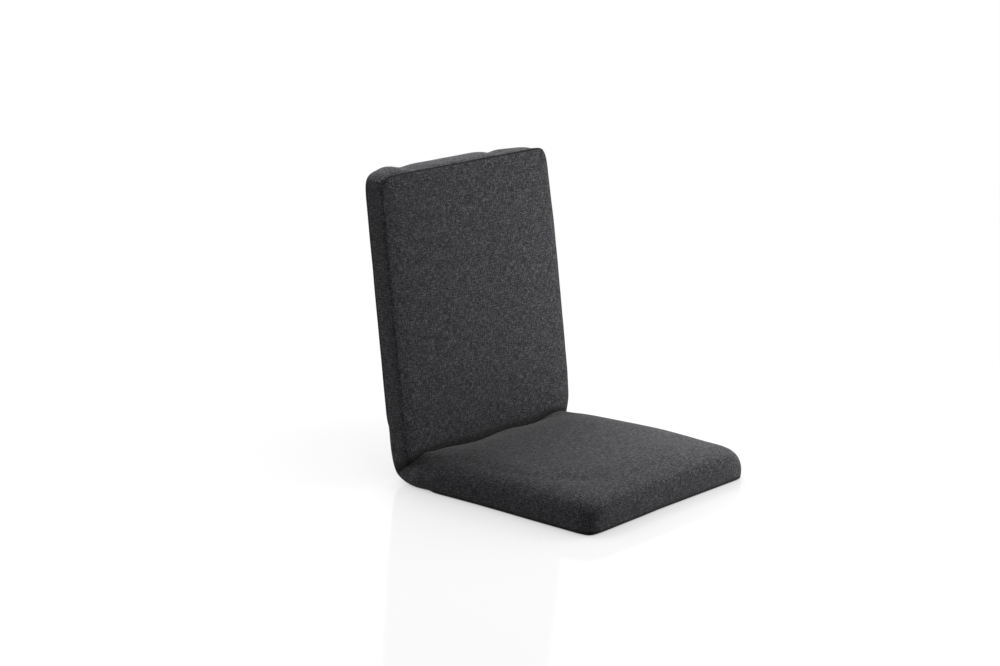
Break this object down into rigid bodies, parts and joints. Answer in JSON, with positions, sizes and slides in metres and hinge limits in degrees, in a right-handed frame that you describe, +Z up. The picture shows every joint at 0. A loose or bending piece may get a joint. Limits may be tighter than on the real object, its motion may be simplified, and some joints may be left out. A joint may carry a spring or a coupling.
{
  "type": "folding floor chair",
  "caption": "Legless folding floor chair: padded seat and back on a hidden tube frame, with ratchet hinges that recline the back until it lies flat as a short lying mat.",
  "frame": {"origin": "middle of the seat's underside, on the floor", "axes": "+Z up, the sitter faces -Y, +X to the sitter's left"},
  "size_m": [0.5042, 0.595, 0.6334],
  "materials": {
    "cover_cloth": "charcoal melange woven cloth with fine pale flecks",
    "base_cloth": "black non-woven underside cloth",
    "foam": "cream polyurethane foam",
    "webbing": "black elastic webbing",
    "powder_coat": "satin black powder coat",
    "zinc_steel": "bright zinc-plated stamped steel",
    "spring_steel": "dark hardened steel",
    "zip_nylon": "black nylon coil zip"
  },
  "bodies": {
    "seat": {"hinge_gear_plate_left": "zinc_steel", "hinge_gear_plate_right": "zinc_steel", "hinge_sleeve": "cover_cloth", "seat_cover_base": "base_cloth", "seat_cover_top": "cover_cloth", "seat_cross_rail": "powder_coat", "seat_foam_core": "foam", "seat_foam_top": "foam", "seat_frame": "powder_coat", "seat_rivet_left_1": "zinc_steel", "seat_rivet_left_2": "zinc_steel", "seat_rivet_right_1": "zinc_steel", "seat_rivet_right_2": "zinc_steel", "seat_webbing_1": "webbing", "seat_webbing_2": "webbing", "seat_webbing_3": "webbing", "seat_webbing_4": "webbing"},
    "back": {"back_cover_front": "cover_cloth", "back_cover_rear": "cover_cloth", "back_cross_rail": "powder_coat", "back_foam_core": "foam", "back_foam_front": "foam", "back_frame": "powder_coat", "back_rivet_left_1": "zinc_steel", "back_rivet_left_2": "zinc_steel", "back_rivet_right_1": "zinc_steel", "back_rivet_right_2": "zinc_steel", "back_webbing_1": "webbing", "back_webbing_2": "webbing", "back_webbing_3": "webbing", "back_webbing_4": "webbing", "back_webbing_5": "webbing", "hinge_cheek_inner_left": "zinc_steel", "hinge_cheek_inner_right": "zinc_steel", "hinge_cheek_outer_left": "zinc_steel", "hinge_cheek_outer_right": "zinc_steel", "hinge_pivot_rivet_left": "zinc_steel", "hinge_pivot_rivet_right": "zinc_steel", "pawl_pin_left": "zinc_steel", "pawl_pin_right": "zinc_steel", "pawl_spring_left": "spring_steel", "pawl_spring_right": "spring_steel", "zip_tape": "zip_nylon"},
    "pawl_left": {"pawl_left": "spring_steel"},
    "pawl_right": {"pawl_right": "spring_steel"},
    "zip_slider": {"zip_slider": "zinc_steel"},
    "zip_pull": {"zip_pull": "zinc_steel"}
  },
  "joints": [
    {"name": "back_fold", "type": "hinge", "parent": "seat", "child": "back", "pos_m": [0, 0.242, 0.044], "axis": [-1, 0, 0], "range_deg": [-59.64, 83.5], "deforming": ["hinge_sleeve"]},
    {"name": "pawl_left_lift", "type": "hinge", "parent": "back", "child": "pawl_left", "pos_m": [0.203, 0.24698, 0.0685], "axis": [-1, 0, 0], "range_deg": [0, 8], "stiffness_Nm_per_rad": 0.02, "springref_deg": 17.19},
    {"name": "pawl_right_lift", "type": "hinge", "parent": "back", "child": "pawl_right", "pos_m": [-0.203, 0.24698, 0.0685], "axis": [-1, 0, 0], "range_deg": [0, 8], "stiffness_Nm_per_rad": 0.02, "springref_deg": 17.19},
    {"name": "zip_slide", "type": "slide", "parent": "back", "child": "zip_slider", "axis": [1, 0, 0], "range_m": [0, 0.398]},
    {"name": "zip_pull_swing", "type": "hinge", "parent": "zip_slider", "child": "zip_pull", "pos_m": [-0.199, 0.34858, 0.60927], "axis": [1, 0, 0], "range_deg": [0, 120]}
  ]
}
